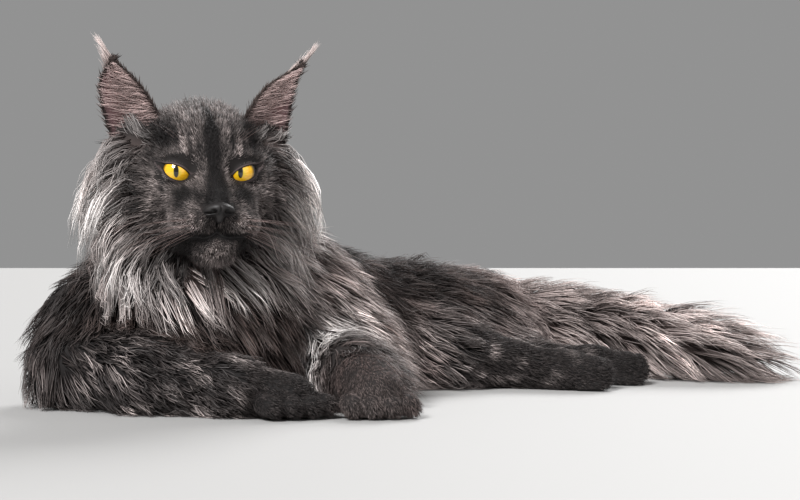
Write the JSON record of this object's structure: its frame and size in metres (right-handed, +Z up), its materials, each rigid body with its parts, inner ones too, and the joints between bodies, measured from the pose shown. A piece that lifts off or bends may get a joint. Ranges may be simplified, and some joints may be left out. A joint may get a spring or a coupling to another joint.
{
  "type": "maine coon cat",
  "caption": "Black smoke maine coon cat lying with its head up, a silver ruff, tufted ears, crossed forelegs and a long plumed tail.",
  "frame": {"origin": "on the floor, at the flat on the underside of the rib cage", "axes": "+X along the lying body from the head's end to the tail's tip, +Y from the forepaws back towards the rump, +Z up from the floor"},
  "size_m": [0.633, 0.4914, 0.2738],
  "materials": {
    "coat": "matte",
    "ruff": "matte",
    "eye": "gloss"
  },
  "bodies": {
    "root": {"head": "coat", "ear_left": "coat", "ear_right": "coat", "eye_left": "eye", "eye_right": "eye", "neck": "ruff", "torso": "coat", "foreleg_left": "coat", "foreleg_right": "coat", "hind_leg_left": "coat", "hind_leg_right": "coat", "tail": "coat"}
  },
  "joints": []
}
